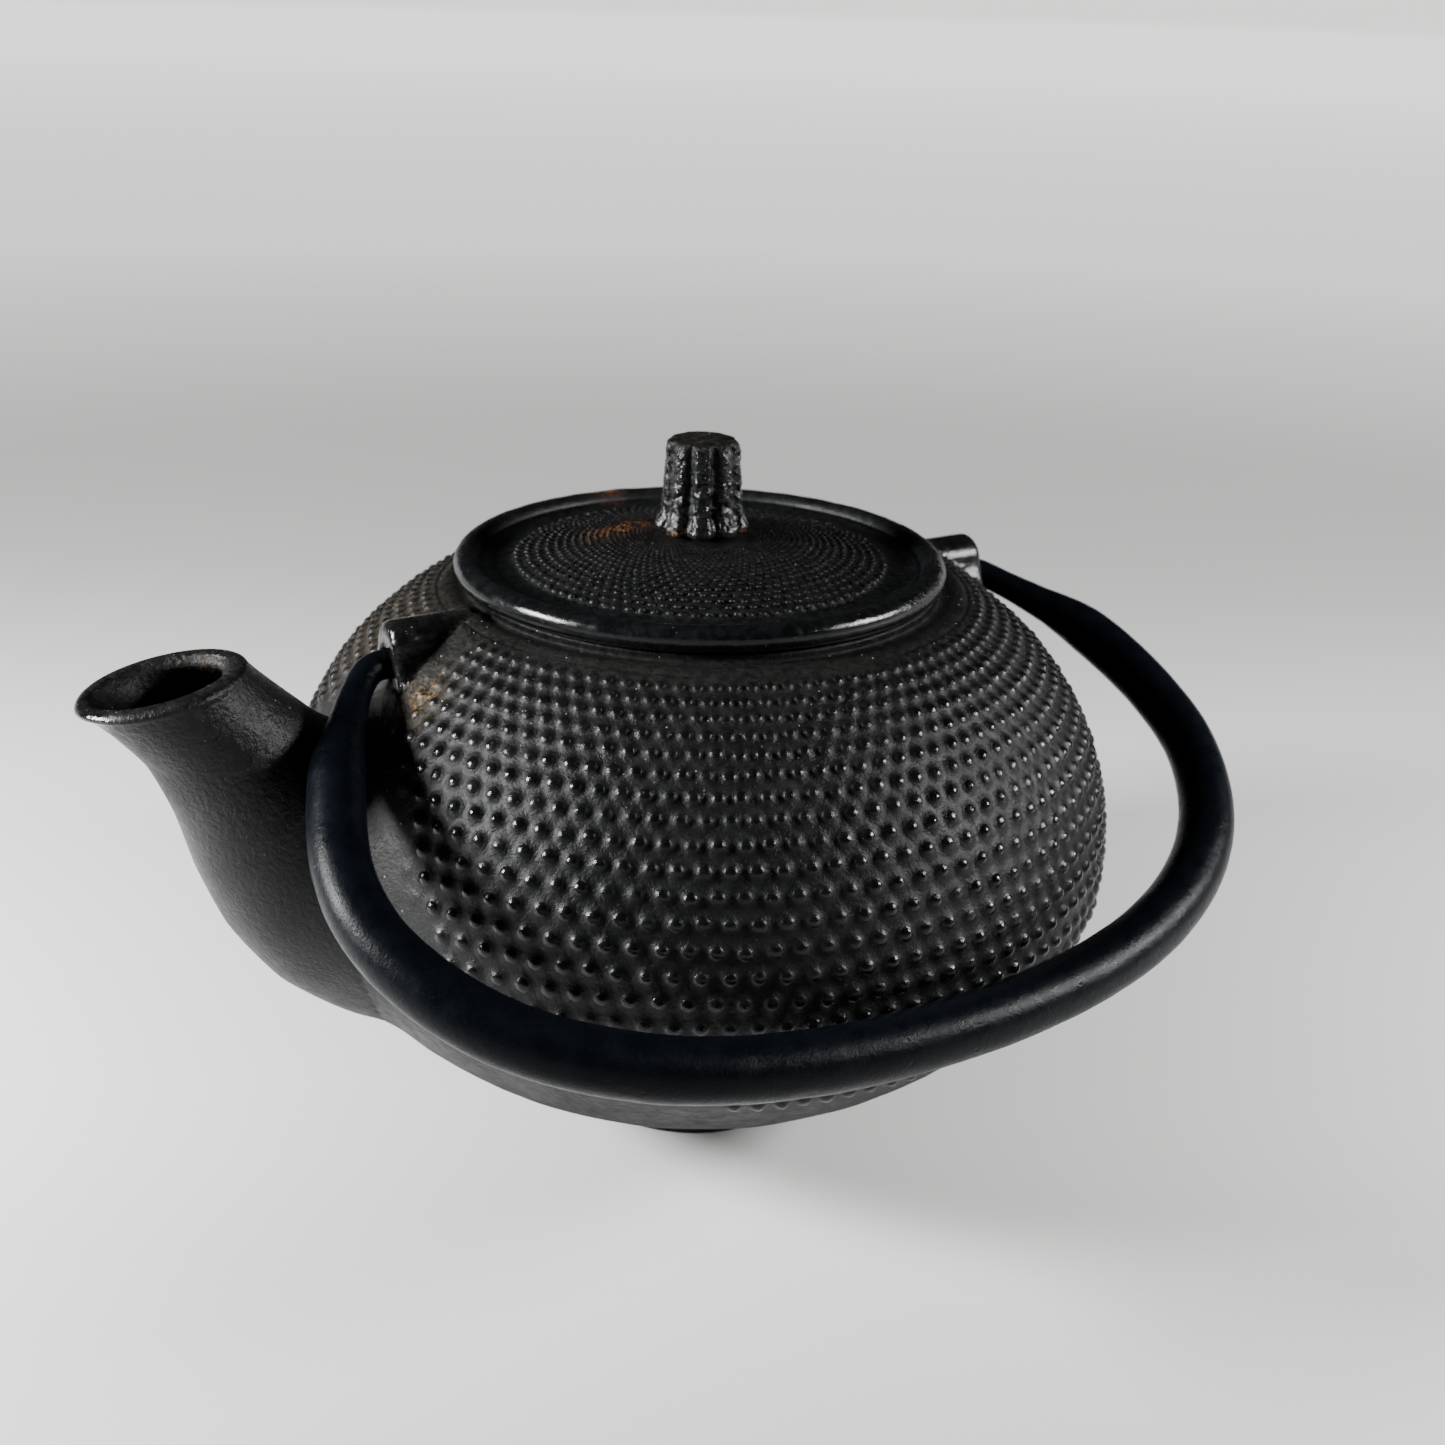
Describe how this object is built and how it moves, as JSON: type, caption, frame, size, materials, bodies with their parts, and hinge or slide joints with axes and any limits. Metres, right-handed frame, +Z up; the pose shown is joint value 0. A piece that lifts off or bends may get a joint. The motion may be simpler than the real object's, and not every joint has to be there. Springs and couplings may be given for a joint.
{
  "type": "teapot with infuser",
  "caption": "Small cast-iron teapot with a hobnail surface, folding bail handle, lift-off lid and hanging stainless mesh infuser basket.",
  "frame": {"origin": "centre of the round foot, on the plane the pot stands on", "axes": "+Z up; the spout points along -X; the handle turns about the X line through the two lugs and rests folded towards -Y"},
  "size_m": [0.1469, 0.1221, 0.0964],
  "materials": {
    "pot_iron": "satin black enamelled cast iron, rough sand-cast grain",
    "lid_iron": "satin black cast iron, worn glossy on the rim",
    "handle_steel": "smooth satin black coated steel",
    "stainless_sheet": "pressed stainless sheet, fine brushed",
    "stainless_mesh": "woven stainless wire"
  },
  "bodies": {
    "pot": {"pot_body": "pot_iron"},
    "handle": {"handle": "handle_steel"},
    "infuser": {"infuser_rim": "stainless_sheet", "infuser_wall": "stainless_mesh", "infuser_band": "stainless_sheet", "infuser_floor": "stainless_mesh"},
    "lid": {"lid": "lid_iron", "lid_knob": "lid_iron"}
  },
  "joints": [
    {"name": "handle_swing", "type": "hinge", "parent": "pot", "child": "handle", "pos_m": [0, 0, 0.0722], "axis": [-1, 0, 0], "range_deg": [0, 235.4]},
    {"name": "infuser_lift", "type": "slide", "parent": "pot", "child": "infuser", "axis": [0, 0, 1], "range_m": [0, 0.055]},
    {"name": "lid_lift", "type": "slide", "parent": "infuser", "child": "lid", "axis": [0, 0, 1], "range_m": [0, 0.04]}
  ]
}
